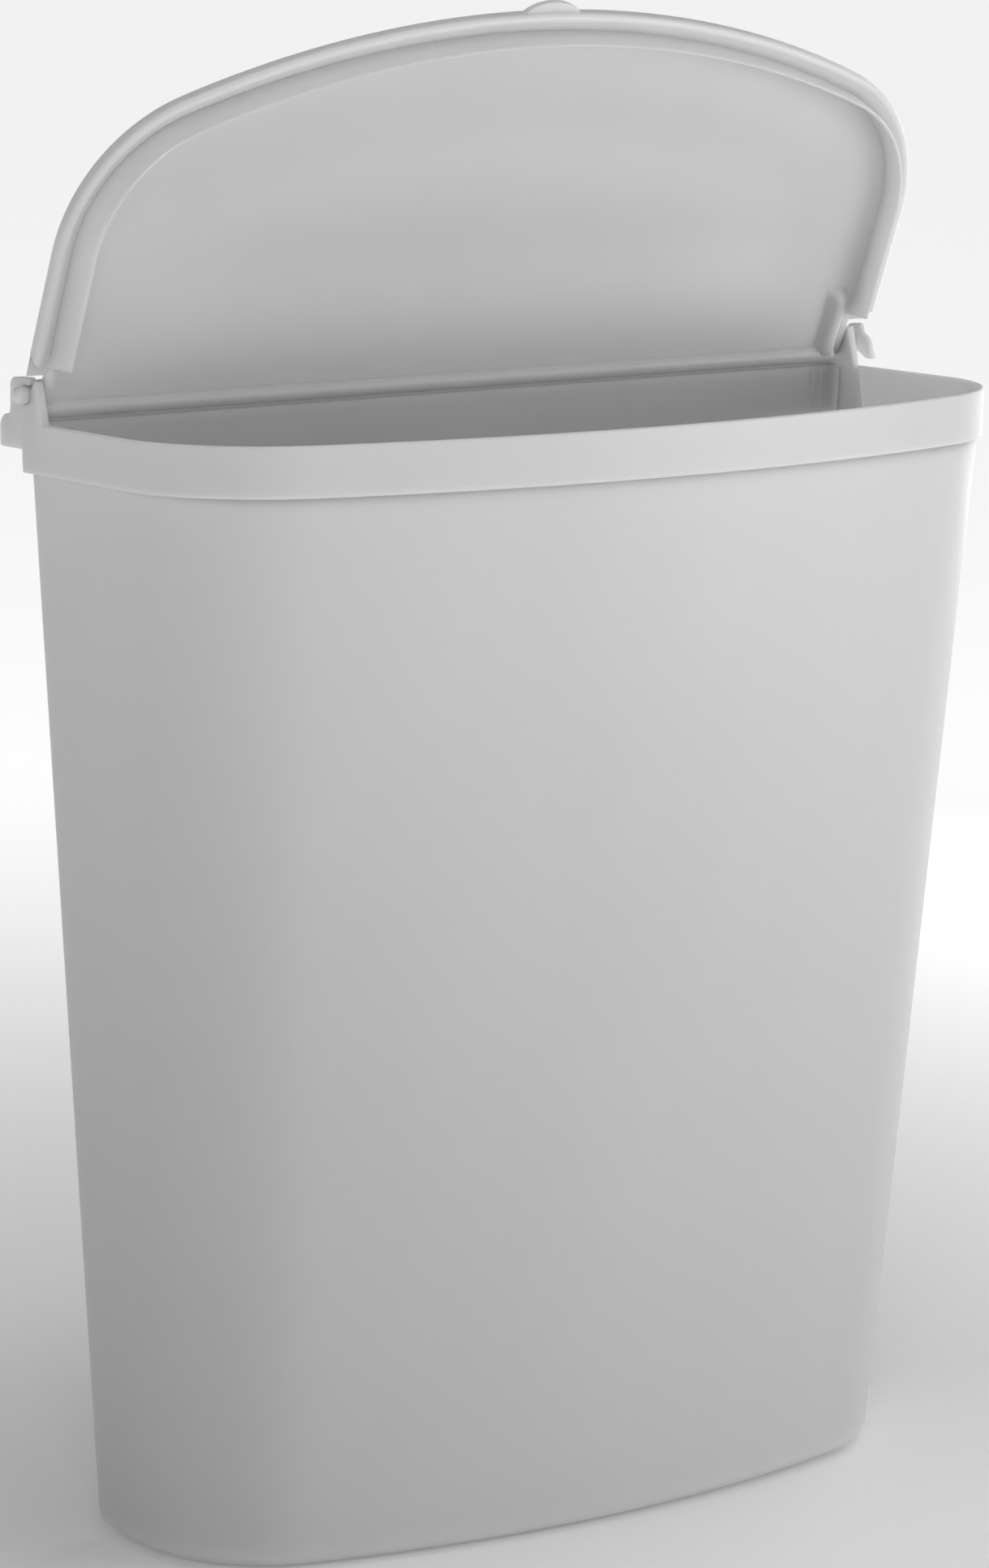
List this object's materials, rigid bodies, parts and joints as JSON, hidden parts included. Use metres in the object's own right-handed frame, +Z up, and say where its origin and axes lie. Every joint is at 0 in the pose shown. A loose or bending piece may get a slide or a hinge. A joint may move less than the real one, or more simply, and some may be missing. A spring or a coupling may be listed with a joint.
{
  "type": "waste bin",
  "caption": "Slim wall-hung waste bin: tapered D-shaped plastic body with a rim band, snap-in hinged lid and thumb tab, hooked on a folded steel bracket with screws and wall plugs.",
  "frame": {"origin": "middle of the bracket's back face, on the wall, at the height of the screws", "axes": "+Y into the wall, +Z up, +X to the right of someone facing the bin, whose front faces -Y"},
  "size_m": [0.3714, 0.1959, 0.542],
  "materials": {
    "bin_plastic": "light grey polypropylene, satin with a fine moulded grain",
    "lid_plastic": "light grey polypropylene, satin with a fine moulded grain",
    "zinc_steel": "bright zinc plate",
    "nylon": "matt grey nylon"
  },
  "bodies": {
    "bracket": {"wall_bracket": "zinc_steel", "bracket_screw_1": "zinc_steel", "bracket_screw_2": "zinc_steel", "bracket_screw_3": "zinc_steel", "bracket_screw_4": "zinc_steel", "wall_plug_1": "nylon", "wall_plug_2": "nylon", "wall_plug_3": "nylon", "wall_plug_4": "nylon"},
    "bin": {"bin_body": "bin_plastic"},
    "lid": {"lid": "lid_plastic"}
  },
  "joints": [
    {"name": "bin_lift", "type": "slide", "parent": "bracket", "child": "bin", "axis": [0, 0, 1], "range_m": [0, 0.03]},
    {"name": "lid_hinge", "type": "hinge", "parent": "bin", "child": "lid", "pos_m": [0, -0.0207, 0.0474], "axis": [1, 0, 0], "range_deg": [-30, 67]}
  ]
}
